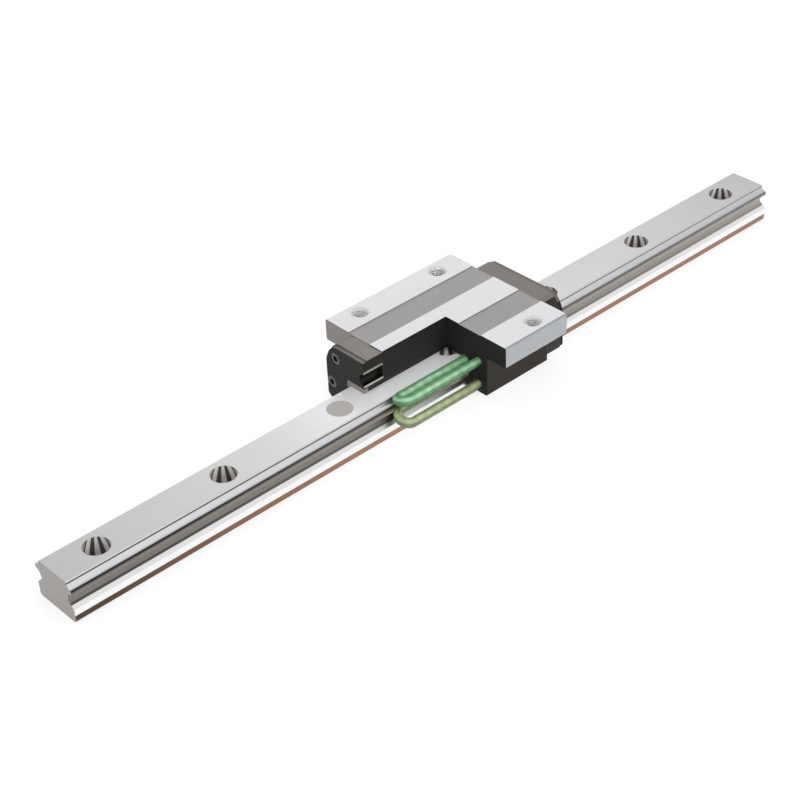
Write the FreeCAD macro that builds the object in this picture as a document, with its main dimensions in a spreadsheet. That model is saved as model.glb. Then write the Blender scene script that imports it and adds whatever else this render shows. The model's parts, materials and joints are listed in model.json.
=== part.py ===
import FreeCAD, Part
import math
import os
import re
import Sketcher

# Flanged linear guide with a quarter of its carriage cut away.
# X runs along the rail, Y across it and Z up. The origin is the middle of the rail's base.
# Lengths are in millimetres and angles in degrees.

doc = FreeCAD.newDocument("linear_guide")
sheet = doc.addObject("Spreadsheet::Sheet", "sizes")

# Driving sizes
SIZES = [
    ("rail_width", 23, "width of the rail over its head and foot"),
    ("rail_height", 18, "height of the rail"),
    ("rail_waist", 16.8, "width of the rail between head and foot"),
    ("rail_foot", 6.3, "height of the foot's straight side"),
    ("rail_edge", 0.8, "chamfer under the foot"),
    ("rail_pitch", 60, "distance between rail holes"),
    ("rail_end", 20, "distance from the last hole to the rail's end"),
    ("rail_holes", 7, "number of rail holes"),
    ("bolt_hole", 7, "diameter of a rail hole"),
    ("bolt_sink", 11, "diameter of its counterbore"),
    ("bolt_sink_depth", 9, "depth of its counterbore"),
    ("plug_hole", 2, "number of holes before the plugged one"),
    ("plug_thickness", 2.5, "thickness of the hole plug"),
    ("plug_fit", 0.03, "radial play of the plug"),
    ("ball", 3.969, "ball diameter"),
    ("race_ratio", 0.52, "raceway radius as a share of the ball diameter"),
    ("race_depth", 0.6, "depth of a raceway in its flat"),
    ("row_offset", 11, "distance of a loaded row from the middle"),
    ("upper_row", 17.5, "height of the upper loaded rows"),
    ("lower_row", 11.1, "height of the lower loaded rows"),
    ("return_span", 8, "distance from a loaded row to its return row"),
    ("circuit_tilt", 18, "tilt of a circuit's plane"),
    ("turn_set", 0.8, "distance of a turn's centre past the block"),
    ("ball_pitch", 5, "least distance from ball to ball in a cage"),
    ("cage_band", 0.28, "thickness of a cage's bands"),
    ("band_width", 0.6, "width of a cage's bands"),
    ("spacer_width", 3.2, "width of a cage's spacers"),
    ("spacer_thickness", 0.45, "thickness of a cage's spacers"),
    ("cage_play", 0.035, "play between a ball and its cage"),
    ("block_width", 70, "width over the flanges"),
    ("block_top", 34, "height of the carriage top over the rail's base"),
    ("block_length", 72, "length of the steel block"),
    ("flange", 10, "thickness of the flanges"),
    ("leg_wall", 2.4, "thickness of the legs outside their return bores"),
    ("leg_bottom", 5, "height of the legs' lower ends"),
    ("ceiling", 20.2, "height of the block's inner ceiling"),
    ("inner_wall", 13.3, "distance of the block's inner walls from the middle"),
    ("leg_gap", 12.3, "distance of the legs' lower inner faces from the middle"),
    ("edge", 0.6, "chamfer of the block's outer edges"),
    ("datum_inner", 15, "width of the middle ground strip"),
    ("datum_outer", 41, "distance between the outer ground strips"),
    ("datum_step", 0.35, "depth of the dull strips"),
    ("thread_edge", 6.5, "distance of the tapped holes from the flanges' sides"),
    ("thread_along", 45, "distance of the tapped holes along the block"),
    ("thread_drill", 6.8, "diameter of the tapped holes' walls"),
    ("thread_sink", 0.7, "countersink of the tapped holes"),
    ("sink_angle", 44, "slant of that countersink"),
    ("cap_step", 0.5, "step from the legs' outer faces to the end caps"),
    ("cap_top", 31.2, "height of the end caps' tops"),
    ("cap_bottom", 6, "height of the end caps' lower ends"),
    ("cap_length", 8.5, "thickness of the end caps"),
    ("cap_corner", 7, "radius of the end caps' upper corners"),
    ("cap_foot", 2, "chamfer of the end caps' lower corners"),
    ("cap_gap", 0.6, "gap between end cap and rail"),
    ("seal_length", 2, "thickness of the end seals"),
    ("seal_gap", 0.25, "gap between seal lips and rail"),
    ("seal_inset", 0.3, "step from end cap to end seal"),
    ("turn_play", 0.42, "play of the cage in its turn channel"),
    ("guide_play", 0.1, "play of the turn guides in the caps"),
    ("guide_plate", 1.3, "thickness of the turn guides' plates"),
    ("sleeve_inner", 4.9, "inner diameter of the return sleeves"),
    ("sleeve_outer", 6, "outer diameter of the return sleeves"),
    ("sleeve_fit", 0.03, "radial play of the return sleeves"),
    ("retainer_gap", 0.6, "gap between retainers and rail"),
    ("retainer_slant", 1.2, "slant of the upper retainer's edges"),
    ("retainer_reach", 8.7, "half width of the upper retainer's lower face"),
    ("hook_gap", 0.25, "gap between the lower retainers and the rail's foot"),
    ("seat_reach", 0.36, "reach of the lower retainers along the legs' lips"),
    ("nose_set", 0.1, "distance of the lower retainers' noses from their rows' middle"),
    ("tip_set", 1.32, "reach of the lower retainers' tips past their rows' middle"),
    ("tip_rise", 0.22, "rise from those noses to the tips"),
    ("side_seal", 0.8, "thickness of the side seals"),
    ("side_seal_outer", 16, "distance of the side seals' outer edges from the middle"),
    ("screw", 3, "diameter of the cap screws"),
    ("screw_head", 5.5, "diameter of the cap screws' heads"),
    ("screw_head_height", 1.8, "height of the cap screws' heads"),
    ("screw_grip", 7, "depth of the cap screws in the block"),
    ("screw_tip", 1, "depth of the block's screw holes past the screws"),
    ("screw_play", 0.1, "radial play of the cap screws"),
    ("screw_socket", 2.5, "width across the screw sockets"),
    ("screw_socket_depth", 1.1, "depth of the screw sockets"),
    ("upper_screw_edge", 6, "distance of the upper cap screws from the caps' sides"),
    ("upper_screw_z", 27.2, "height of the upper cap screws"),
    ("lower_screw_edge", 2.8, "distance of the lower cap screws from the caps' sides"),
    ("lower_screw_z", 14.3, "height of the lower cap screws"),
    ("port_z", 24.8, "height of the grease port"),
    ("port_outer", 7.6, "outer diameter of the port bush"),
    ("port_inner", 5.6, "inner diameter of the port bush"),
    ("port_fit", 0.02, "radial play of the port bush and of its plug"),
    ("port_plug", 6, "length of the port plug"),
]

# Formulas on the driving sizes, each written once
FORMULAS = {
    "rail_length": "rail_pitch * (rail_holes - 1) + 2 * rail_end",
    "race": "ball * race_ratio",
    "race_step": "(race - race_depth) * sqrt(2)",
    "race_reach": "sqrt(race * race - (race - race_depth) * (race - race_depth))",
    "race_near": "(race - race_depth - race_reach) / sqrt(2)",
    "race_far": "(race - race_depth + race_reach) / sqrt(2)",
    "head_flat": "row_offset + upper_row - race_step - rail_height",
    "head_top": "row_offset + upper_row - race_step - rail_width / 2",
    "head_low": "rail_width / 2 - row_offset + lower_row + race_step",
    "waist_top": "rail_waist / 2 - row_offset + lower_row + race_step",
    "waist_low": "rail_foot + (rail_width - rail_waist) / 2",
    "ceiling_edge": "row_offset + upper_row + race_step - ceiling",
    "wall_top": "row_offset + upper_row + race_step - inner_wall",
    "wall_low": "inner_wall - row_offset + lower_row - race_step",
    "leg_lip": "row_offset + race_near",
    "leg_lip_z": "lower_row - race_far",
    "leg_slant_z": "leg_lip_z - (leg_gap - leg_lip)",
    "flange_low": "block_top - flange",
    "turn": "return_span / 2",
    "band_in": "ball / 2 + cage_play",
    "band_out": "band_in + cage_band",
    "cap_end": "block_length / 2 + cap_length",
    "seal_end": "cap_end + seal_length",
    "return_y": "row_offset + return_span * cos(circuit_tilt)",
    "upper_return_z": "upper_row + return_span * sin(circuit_tilt)",
    "lower_return_z": "lower_row - return_span * sin(circuit_tilt)",
    "channel": "turn + ball / 2 + turn_play",
    "peg": "turn - ball / 2 - turn_play",
    "upper_mid_z": "(upper_row + upper_return_z) / 2",
    "lower_mid_z": "(lower_row + lower_return_z) / 2",
    "mid_y": "(row_offset + return_y) / 2",
    "body_width": "2 * (return_y + sleeve_outer / 2 + leg_wall)",
    "cap_width": "body_width - 2 * cap_step",
    "thread_across": "block_width - 2 * thread_edge",
    "upper_screw_y": "cap_width / 2 - upper_screw_edge",
    "lower_screw_y": "cap_width / 2 - lower_screw_edge",
    "lip_z": "lower_row - band_out - hook_gap",
    "foot_line": "rail_foot + rail_width / 2 + hook_gap * sqrt(2)",
}

LEFT = 1
RIGHT = -1
FRONT = -1
REAR = 1


def fill_sheet():
    """Writes each driving size with its name and meaning."""
    for line, (name, value, meaning) in enumerate(SIZES, start=1):
        sheet.set(f"A{line}", name)
        sheet.set(f"B{line}", str(value))
        sheet.set(f"C{line}", meaning)
        sheet.setAlias(f"B{line}", name)
    doc.recompute()


def formula(text):
    """Turns a formula in plain size names into one that reads the sheet."""
    words = {name for name, value, meaning in SIZES}

    def spell(match):
        word = match.group(0)
        if word in FORMULAS:
            return "(" + re.sub(r"[a-z][a-z_]*", spell, FORMULAS[word]) + ")"
        if word in words:
            return "sizes." + word
        return word

    spelt = re.sub(r"[a-z][a-z_]*", spell, str(text))
    return re.sub(r"(cos|sin)\(sizes\.circuit_tilt\)", r"\1(sizes.circuit_tilt * 1deg)", spelt)


def size(text):
    """The value of a formula."""
    value = sheet.evalExpression(formula(text))
    return float(getattr(value, "Value", value))


def new_body(label):
    body = doc.addObject("PartDesign::Body", label)
    body.Label = label
    return body


def new_sketch(body, name, role, offset="0", tilt=None, base=("0", "0", "0")):
    """A sketch on one of the body's own planes, set off along the plane's normal."""
    sketch = body.newObject("Sketcher::SketchObject", name)
    plane = [f for f in body.Origin.OriginFeatures if f.Role == role][0]
    sketch.AttachmentSupport = [(plane, "")]
    sketch.MapMode = "FlatFace"
    places = [base[0], base[1], f"{base[2]} + {offset}"]
    turned = FreeCAD.Rotation(FreeCAD.Vector(1, 0, 0), 1 if tilt else 0)
    sketch.AttachmentOffset = FreeCAD.Placement(FreeCAD.Vector(0, 0, 0), turned)
    for axis, place in zip("xyz", places):
        sketch.setExpression(f"AttachmentOffset.Base.{axis}", formula(place))
    if tilt:
        sketch.setExpression("AttachmentOffset.Rotation.Angle", formula(tilt))
    return sketch


def pin_point(sketch, shape, end, x, y):
    """Ties a point of a sketch to two formulas."""
    for kind, text in (("DistanceX", x), ("DistanceY", y)):
        spot = sketch.addConstraint(Sketcher.Constraint(kind, -1, 1, shape, end, size(text)))
        sketch.setExpression(f"Constraints[{spot}]", formula(text))


def add_circle(sketch, x, y, radius):
    centre = FreeCAD.Vector(size(x), size(y), 0)
    shape = sketch.addGeometry(Part.Circle(centre, FreeCAD.Vector(0, 0, 1), size(radius)), False)
    pin_point(sketch, shape, 3, x, y)
    spot = sketch.addConstraint(Sketcher.Constraint("Radius", shape, size(radius)))
    sketch.setExpression(f"Constraints[{spot}]", formula(radius))


def arc_between(start, end, radius, side):
    """A short arc from start to end whose centre lies left (1) or right (-1) of the way."""
    chord = end - start
    across = FreeCAD.Vector(-chord.y, chord.x, 0).normalize() * side
    rise = math.sqrt(max(radius**2 - (chord.Length / 2) ** 2, 0))
    centre = (start + end) / 2 + across * rise
    circle = Part.Circle(centre, FreeCAD.Vector(0, 0, 1), radius)
    first, last = (start, end) if side > 0 else (end, start)
    angles = [math.atan2(p.y - centre.y, p.x - centre.x) for p in (first, last)]
    return Part.ArcOfCircle(circle, angles[0], angles[1])


def add_outline(sketch, corners):
    """A closed outline through corners of two formulas, with a radius and a side where an arc follows."""
    points = [FreeCAD.Vector(size(c[0]), size(c[1]), 0) for c in corners]
    shapes = []
    for i, corner in enumerate(corners):
        start, end = points[i], points[(i + 1) % len(points)]
        if len(corner) == 2:
            shapes.append((sketch.addGeometry(Part.LineSegment(start, end), False), 1, 2))
            continue
        radius, side = corner[2], corner[3]
        shape = sketch.addGeometry(arc_between(start, end, size(radius), side), False)
        shapes.append((shape, 1, 2) if side > 0 else (shape, 2, 1))
    for i, (shape, first, last) in enumerate(shapes):
        before, before_first, before_last = shapes[i - 1]
        sketch.addConstraint(Sketcher.Constraint("Coincident", before, before_last, shape, first))
        pin_point(sketch, shape, first, corners[i][0], corners[i][1])
    for (shape, first, last), corner in zip(shapes, corners):
        if len(corner) == 4:
            spot = sketch.addConstraint(Sketcher.Constraint("Radius", shape, size(corner[2])))
            sketch.setExpression(f"Constraints[{spot}]", formula(corner[2]))


def mirror(corners):
    """The right half of an outline from its left half."""
    return [(f"-({c[0]})",) + tuple(c[1:]) for c in reversed(corners)]


def whole(half):
    """Closes a half outline, given from its top to its bottom, with its mirror image."""
    left = [tuple(c) for c in half]
    right = []
    for i in range(len(half) - 1, -1, -1):
        corner = (f"-({half[i][0]})", half[i][1])
        arc = half[i - 1][2:] if i > 0 else ()
        right.append(corner + tuple(arc))
    return left + right


def pad(body, sketch, length, middle=False):
    feature = body.newObject("PartDesign::Pad", sketch.Name + "_pad")
    feature.Profile = sketch
    feature.SideType = "Symmetric" if middle else "One side"
    feature.setExpression("Length", formula(length))
    doc.recompute()
    return feature


def pocket(body, sketch, length=None, middle=False, reverse=False):
    """Cuts a sketch out of a body, through everything if no length is given."""
    before = body.Shape.Volume
    feature = body.newObject("PartDesign::Pocket", sketch.Name + "_cut")
    feature.Profile = sketch
    feature.Reversed = reverse
    feature.SideType = "Symmetric" if middle else "One side"
    if length is None:
        feature.Type = "ThroughAll"
    else:
        feature.setExpression("Length", formula(length))
    doc.recompute()
    if body.Shape.Volume > before - 1e-3:
        raise ValueError(f"{sketch.Name} cuts nothing out of {body.Label}")
    return feature


def rail_outline(gap="0"):
    """Half of the rail's outline, or of an opening that stays a gap away from it."""
    slant = f"{gap} * tan(22.5 deg)"
    return [
        (f"head_flat + {slant}", f"rail_height + {gap}"),
        (f"rail_width / 2 + {gap}", f"head_top + {slant}"),
        (f"rail_width / 2 + {gap}", f"head_low - {slant}"),
        (f"rail_waist / 2 + {gap}", f"waist_top - {slant}"),
        (f"rail_waist / 2 + {gap}", f"waist_low + {slant}"),
        (f"rail_width / 2 + {gap}", f"rail_foot + {slant}"),
    ]


def with_raceways(half):
    """Puts the two raceway arcs into the slants of the rail's head."""
    upper = [
        ("row_offset - race_far", "upper_row - race_near", "race", 1),
        ("row_offset - race_near", "upper_row - race_far"),
    ]
    lower = [
        ("row_offset - race_near", "lower_row + race_far", "race", 1),
        ("row_offset - race_far", "lower_row + race_near"),
    ]
    return [half[0]] + upper + half[1:3] + lower + half[3:]


def make_rail():
    body = new_body("rail")
    body.setExpression("Placement.Base.x", formula("-rail_length / 2"))
    sketch = new_sketch(body, "rail_section", "YZ_Plane")
    foot = [("rail_width / 2", "rail_edge"), ("rail_width / 2 - rail_edge", "0")]
    add_outline(sketch, whole(with_raceways(rail_outline()) + foot))
    pad(body, sketch, "rail_length")
    cuts = []
    for name, width, depth in (("bolt_hole", "bolt_hole", None), ("bolt_sink", "bolt_sink", "bolt_sink_depth")):
        hole = new_sketch(body, name, "XY_Plane", "rail_height")
        add_circle(hole, "rail_end", "0", f"{width} / 2")
        cuts.append(pocket(body, hole, depth))
    row = body.newObject("PartDesign::LinearPattern", "rail_hole_row")
    row.Originals = cuts
    row.Direction = (cuts[0].Profile[0], ["H_Axis"])
    row.setExpression("Length", formula("rail_pitch * (rail_holes - 1)"))
    row.setExpression("Occurrences", formula("rail_holes"))
    body.Tip = row
    return body


def make_hole_plug():
    """The cap that closes one rail hole, level with the rail's top."""
    body = new_body("rail_hole_plug")
    body.setExpression("Placement.Base.x", formula("rail_end + rail_pitch * plug_hole - rail_length / 2"))
    disc = new_sketch(body, "plug_disc", "XY_Plane", "rail_height - plug_thickness")
    add_circle(disc, "0", "0", "bolt_sink / 2 - plug_fit")
    pad(body, disc, "plug_thickness")
    return body


def cut_quarter(body, name, reach):
    """Takes the front right quarter away."""
    sketch = new_sketch(body, name, "XY_Plane", "block_top")
    add_outline(sketch, [("0", "0"), (f"-({reach})", "0"), (f"-({reach})", "-block_width"), ("0", "-block_width")])
    pocket(body, sketch)


def cut_screw_holes(body, end, places, radius, plane, depth, towards_rear):
    """Round holes at the cap screws' places in a face across X."""
    sketch = new_sketch(body, f"screw_holes_{end}", "YZ_Plane", plane)
    for y, z in places:
        add_circle(sketch, y, z, radius)
    pocket(body, sketch, depth, reverse=towards_rear)


def screw_places(sides):
    """The cap screws' places on the sides given."""
    places = []
    for side in sides:
        places.append((f"{side} * upper_screw_y", "upper_screw_z"))
        places.append((f"{side} * lower_screw_y", "lower_screw_z"))
    return places


def make_block():
    """The flanged steel block: outer outline, inner channel with raceways, bores, threads and the cut."""
    body = new_body("carriage_block")
    outer = [
        ("datum_inner / 2", "block_top"),
        ("datum_inner / 2", "block_top - datum_step"),
        ("datum_outer / 2", "block_top - datum_step"),
        ("datum_outer / 2", "block_top"),
        ("block_width / 2 - edge", "block_top"),
        ("block_width / 2", "block_top - edge"),
        ("block_width / 2", "flange_low + edge"),
        ("block_width / 2 - edge", "flange_low"),
        ("body_width / 2", "flange_low"),
        ("body_width / 2", "leg_bottom + edge"),
        ("body_width / 2 - edge", "leg_bottom"),
    ]
    inner = [
        ("leg_gap", "leg_bottom"),
        ("leg_gap", "leg_slant_z"),
        ("leg_lip", "leg_lip_z", "race", 1),
        ("row_offset + race_far", "lower_row - race_near"),
        ("inner_wall", "wall_low"),
        ("inner_wall", "wall_top"),
        ("row_offset + race_far", "upper_row + race_near", "race", 1),
        ("row_offset + race_near", "upper_row + race_far"),
        ("ceiling_edge", "ceiling"),
    ]
    sketch = new_sketch(body, "block_section", "YZ_Plane", "-block_length / 2")
    add_outline(sketch, whole(outer + inner))
    for side in (LEFT, RIGHT):
        for height in ("upper_return_z", "lower_return_z"):
            add_circle(sketch, f"{side} * return_y", height, "sleeve_outer / 2 + sleeve_fit")
    pad(body, sketch, "block_length")
    threads = new_sketch(body, "threads", "XY_Plane", "block_top")
    sinks = new_sketch(body, "thread_sinks", "XY_Plane", "block_top")
    for side in (LEFT, RIGHT):
        for end in (FRONT, REAR):
            place = (f"{end} * thread_along / 2", f"{side} * thread_across / 2")
            add_circle(threads, place[0], place[1], "thread_drill / 2")
            add_circle(sinks, place[0], place[1], "thread_drill / 2 + thread_sink")
    pocket(body, threads, "flange + edge")
    sink = pocket(body, sinks, "thread_sink")
    sink.TaperAngle = -size("sink_angle")
    cut_screw_holes(body, "front", screw_places([LEFT]), "screw / 2 + screw_play",
                    "-block_length / 2", "screw_grip + screw_tip", True)
    cut_screw_holes(body, "rear", screw_places([LEFT, RIGHT]), "screw / 2 + screw_play",
                    "block_length / 2", "screw_grip + screw_tip", False)
    cut_quarter(body, "display_cut", "block_length")
    return body


def end_outline(inset, gap):
    """Half of the outline of an end cap or end seal with its opening for the rail."""
    outer = [
        (f"cap_width / 2 - {inset} - cap_corner", f"cap_top - {inset}", "cap_corner", -1),
        (f"cap_width / 2 - {inset}", f"cap_top - {inset} - cap_corner"),
        (f"cap_width / 2 - {inset}", f"cap_bottom + {inset} + cap_foot"),
        (f"cap_width / 2 - {inset} - cap_foot", f"cap_bottom + {inset}"),
    ]
    opening = list(reversed(rail_outline(gap)))[1:]
    foot = [
        (f"rail_width / 2 + {gap}", f"cap_bottom + {inset}"),
        (f"rail_width / 2 + {gap}", f"rail_foot + {gap} * tan(22.5 deg)"),
    ]
    return outer + foot + opening


def end_section(body, name, plane, inset, gap, sides):
    """The section of an end piece, whole or its left half."""
    sketch = new_sketch(body, name, "YZ_Plane", plane)
    half = end_outline(inset, gap)
    if RIGHT in sides:
        add_outline(sketch, whole(half))
    else:
        add_outline(sketch, [("0", f"cap_top - {inset}")] + half + [("0", f"rail_height + {gap}")])
    return sketch


def circuit_plane(body, name, side, level):
    """A sketch in the plane of one ball circuit, its Y axis across the circuit."""
    upper = level == "upper"
    tilt = f"{side if upper else -side} * circuit_tilt"
    height = "upper_row" if upper else "lower_row"
    return new_sketch(body, name, "XY_Plane", "0", tilt, ("0", f"{side} * row_offset", height))


def turn_centre(end, side):
    return f"{end} * (block_length / 2 + turn_set)", f"{side} * turn"


def make_end_cap(label, end, sides):
    """A resin end cap with the turn channels of the circuits behind it."""
    body = new_body(label)
    plane = "-cap_end" if end == FRONT else "block_length / 2"
    pad(body, end_section(body, label + "_section", plane, "0", "cap_gap", sides), "cap_length")
    for side in sides:
        for level in ("upper", "lower"):
            turn = circuit_plane(body, f"{label}_{level}_turn_{'left' if side == LEFT else 'right'}", side, level)
            x, y = turn_centre(end, side)
            add_circle(turn, x, y, "channel")
            pocket(body, turn, "2 * (band_out + guide_play)", middle=True)
        slot = new_sketch(body, f"{label}_guide_slot_{'left' if side == LEFT else 'right'}", "YZ_Plane",
                          f"{end} * block_length / 2")
        add_plate(slot, side, "guide_play")
        pocket(body, slot, "guide_plate + guide_play", reverse=end == REAR)
    port = new_sketch(body, label + "_port", "YZ_Plane", f"{end} * cap_end")
    add_circle(port, "0", "port_z", "port_outer / 2 + port_fit")
    pocket(body, port, "cap_length", reverse=end == FRONT)
    cut_screw_holes(body, label, screw_places(sides), "screw / 2 + screw_play",
                    f"{end} * cap_end", "cap_length", end == FRONT)
    return body


def make_end_seal(label, end, sides):
    """The seal plate outside an end cap. Its lip follows the rail."""
    body = new_body(label)
    plane = "-seal_end" if end == FRONT else "cap_end"
    pad(body, end_section(body, label + "_section", plane, "seal_inset", "seal_gap", sides), "seal_length")
    cut_screw_holes(body, label, screw_places(sides), "screw_head / 2 + screw_play",
                    f"{end} * seal_end", "seal_length", end == FRONT)
    port = new_sketch(body, label + "_port", "YZ_Plane", f"{end} * seal_end")
    add_circle(port, "0", "port_z", "port_outer / 2 + port_fit")
    pocket(body, port, "seal_length", reverse=end == FRONT)
    return body


def add_plate(sketch, side, play):
    """The plate that joins a turn guide's two pegs."""
    inner = f"{side} * (mid_y - peg - {play})"
    outer = f"{side} * (mid_y + peg + {play})"
    low = f"lower_mid_z - {play}"
    high = f"upper_mid_z + {play}"
    add_outline(sketch, [(inner, high), (outer, high), (outer, low), (inner, low)])


def make_turn_guide(label, end, side):
    """The inner guide of two turns: a plate on the block's end face with two round-nosed pegs."""
    body = new_body(label)
    plate = new_sketch(body, label + "_plate", "YZ_Plane",
                       f"{end} * (block_length / 2 + guide_plate / 2)")
    add_plate(plate, side, "0")
    pad(body, plate, "guide_plate", middle=True)
    for level in ("upper", "lower"):
        peg = circuit_plane(body, f"{label}_{level}_peg", side, level)
        x, y = turn_centre(end, side)
        face = f"{end} * block_length / 2"
        corners = [
            (face, f"{y} + peg"),
            (x, f"{y} + peg", "peg", -end),
            (f"{x} + {end} * peg", y, "peg", -end),
            (x, f"{y} - peg"),
            (face, f"{y} - peg"),
        ]
        add_outline(peg, corners)
        pad(body, peg, "2 * band_out", middle=True)
    return body


def make_port_bush(label, end, sides):
    """The metal bush of a grease port, halved by the cut at the front."""
    body = new_body(label)
    ring = new_sketch(body, label + "_ring", "YZ_Plane", "-seal_end" if end == FRONT else "block_length / 2")
    add_circle(ring, "0", "port_z", "port_outer / 2")
    add_circle(ring, "0", "port_z", "port_inner / 2")
    pad(body, ring, "cap_length + seal_length")
    if RIGHT not in sides:
        cut_quarter(body, label + "_display_cut", "block_length")
    return body


def make_port_plug():
    """The screw that closes the rear grease port."""
    body = new_body("grease_port_plug")
    disc = new_sketch(body, "plug_section", "YZ_Plane", "seal_end - port_plug")
    add_circle(disc, "0", "port_z", "port_inner / 2 - port_fit")
    pad(body, disc, "port_plug")
    socket = new_sketch(body, "plug_socket", "YZ_Plane", "seal_end")
    add_hexagon(socket, "0", "port_z", "screw_socket")
    pocket(body, socket, "port_plug / 2")
    return body


def add_hexagon(sketch, y, z, across):
    """A hexagon with two flats level."""
    corners = []
    for i in range(6):
        turn = f"{60 * i} deg"
        corners.append((f"{y} + {across} / sqrt(3) * cos({turn})", f"{z} + {across} / sqrt(3) * sin({turn})"))
    add_outline(sketch, corners)


def make_sleeve(label, side, height):
    """A return tube in the block, shortened by the cut on the right."""
    body = new_body(label)
    start = "-block_length / 2" if side == LEFT else "0"
    tube = new_sketch(body, label + "_ring", "YZ_Plane", start)
    for width in ("sleeve_outer", "sleeve_inner"):
        add_circle(tube, f"{side} * return_y", height, f"{width} / 2")
    pad(body, tube, "block_length" if side == LEFT else "block_length / 2")
    return body


def make_upper_retainer():
    """The plate under the block's ceiling whose slanted edges keep the upper rows in."""
    body = new_body("upper_retainer")
    section = new_sketch(body, "upper_retainer_section", "YZ_Plane", "-block_length / 2")
    add_outline(section, whole([
        ("retainer_reach + retainer_slant", "ceiling"),
        ("retainer_reach", "rail_height + retainer_gap"),
    ]))
    pad(body, section, "block_length")
    cut_quarter(body, "upper_retainer_cut", "block_length")
    return body


def make_lower_retainer(label, side):
    """The strip under a lower row. It seats on the leg's slanted lip and hooks towards the rail's waist."""
    body = new_body(label)
    start = "-block_length / 2" if side == LEFT else "0"
    section = new_sketch(body, label + "_section", "YZ_Plane", start)
    corners = [
        ("leg_gap", "leg_slant_z"),
        ("leg_lip + seat_reach", "leg_lip_z - seat_reach"),
        ("row_offset - nose_set", "lip_z"),
        ("row_offset - tip_set", "lip_z + tip_rise"),
        ("row_offset - tip_set - hook_gap", "foot_line - row_offset + tip_set + hook_gap"),
        ("rail_width / 2 + hook_gap", "foot_line - rail_width / 2 - hook_gap"),
        ("leg_gap", "foot_line - rail_width / 2 - hook_gap"),
    ]
    add_outline(section, corners if side == LEFT else mirror(corners))
    pad(body, section, "block_length" if side == LEFT else "block_length / 2")
    return body


def make_side_seal(label, side):
    """The strip under a leg that seals along the rail's foot."""
    body = new_body(label)
    start = "-block_length / 2" if side == LEFT else "0"
    section = new_sketch(body, label + "_section", "YZ_Plane", start)
    inner = f"{side} * (rail_width / 2 + seal_gap)"
    outer = f"{side} * side_seal_outer"
    low = "leg_bottom - side_seal"
    add_outline(section, [(inner, "leg_bottom"), (outer, "leg_bottom"), (outer, low), (inner, low)])
    pad(body, section, "block_length" if side == LEFT else "block_length / 2")
    return body


def shape_feature(label, shape, place=None):
    """A piece made of shapes that repeat along a curve or in a group."""
    feature = doc.addObject("Part::Feature", label)
    feature.Label = label
    feature.Shape = shape
    if place:
        feature.Placement = place
    return feature


def screw_shape():
    """One cap screw along X, its head's seat at the origin and its shank towards the front."""
    shank, head = size("screw") / 2, size("screw_head") / 2
    grip = size("cap_length + screw_grip")
    height = size("screw_head_height")
    profile = [(-grip, 0), (-grip, shank), (0, shank), (0, head), (height, head), (height, 0)]
    wire = Part.makePolygon([FreeCAD.Vector(x, 0, z) for x, z in profile + profile[:1]])
    screw = Part.Face(wire).revolve(FreeCAD.Vector(0, 0, 0), FreeCAD.Vector(1, 0, 0), 360)
    depth = size("screw_socket_depth")
    corner = size("screw_socket") / math.sqrt(3)
    turns = [math.radians(60 * i) for i in range(7)]
    ring = [FreeCAD.Vector(height - depth, corner * math.cos(a), corner * math.sin(a)) for a in turns]
    socket = Part.Face(Part.makePolygon(ring)).extrude(FreeCAD.Vector(depth, 0, 0))
    return screw.cut(socket)


def make_cap_screws():
    """All cap screws as one group."""
    screws = []
    for end, sides in ((FRONT, [LEFT]), (REAR, [LEFT, RIGHT])):
        for y, z in screw_places(sides):
            screw = screw_shape()
            if end == FRONT:
                screw.rotate(FreeCAD.Vector(0, 0, 0), FreeCAD.Vector(0, 0, 1), 180)
            screw.translate(FreeCAD.Vector(end * size("cap_end"), size(y), size(z)))
            screws.append(screw)
    return shape_feature("end_cap_screws", Part.makeCompound(screws))


def circuit_place(side, level):
    """Where a circuit lies: its X axis along the loaded row and its Y axis towards the return row."""
    upper = level == "upper"
    height = size("upper_row") if upper else size("lower_row")
    tilt = size("circuit_tilt") * (1 if upper else -1) * side
    turned = FreeCAD.Rotation(FreeCAD.Vector(1, 0, 0), tilt)
    if side == RIGHT:
        turned = turned.multiply(FreeCAD.Rotation(FreeCAD.Vector(0, 0, 1), 180))
    return FreeCAD.Placement(FreeCAD.Vector(0, side * size("row_offset"), height), turned)


def circuit_steps(shift):
    """Places of equal steps round a circuit, each with its turn about the circuit's normal in degrees."""
    straight = size("block_length + 2 * turn_set")
    radius = size("turn")
    length = 2 * straight + 2 * math.pi * radius
    count = int(length / size("ball_pitch"))
    steps = []
    for i in range(count):
        way = (i + shift) * length / count
        if way < straight:
            steps.append((way - straight / 2, 0, 0))
        elif way < straight + math.pi * radius:
            angle = (way - straight) / radius
            steps.append((straight / 2 + radius * math.sin(angle), radius - radius * math.cos(angle), angle))
        elif way < 2 * straight + math.pi * radius:
            steps.append((straight * 1.5 + math.pi * radius - way, 2 * radius, math.pi))
        else:
            angle = (way - 2 * straight) / radius
            steps.append((-straight / 2 + radius * math.sin(angle), radius - radius * math.cos(angle), angle))
    return [(x, y, math.degrees(angle)) for x, y, angle in steps]


def ball_shape():
    """A ball with twenty flat faces whose corners lie on the real ball's surface."""
    golden = (1 + math.sqrt(5)) / 2
    corners = []
    for a in (-1, 1):
        for b in (-golden, golden):
            corners += [(0, a, b), (a, b, 0), (b, 0, a)]
    share = size("ball") / 2 / math.hypot(1, golden)
    points = [FreeCAD.Vector(*c) * share for c in corners]
    faces = []
    for i in range(12):
        for j in range(i + 1, 12):
            for k in range(j + 1, 12):
                trio = [points[i], points[j], points[k]]
                sides = [(trio[n] - trio[n - 1]).Length for n in range(3)]
                if all(math.isclose(side, 2 * share, rel_tol=1e-6) for side in sides):
                    faces.append(Part.Face(Part.makePolygon(trio + trio[:1])))
    return Part.makeSolid(Part.makeShell(faces))


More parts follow.
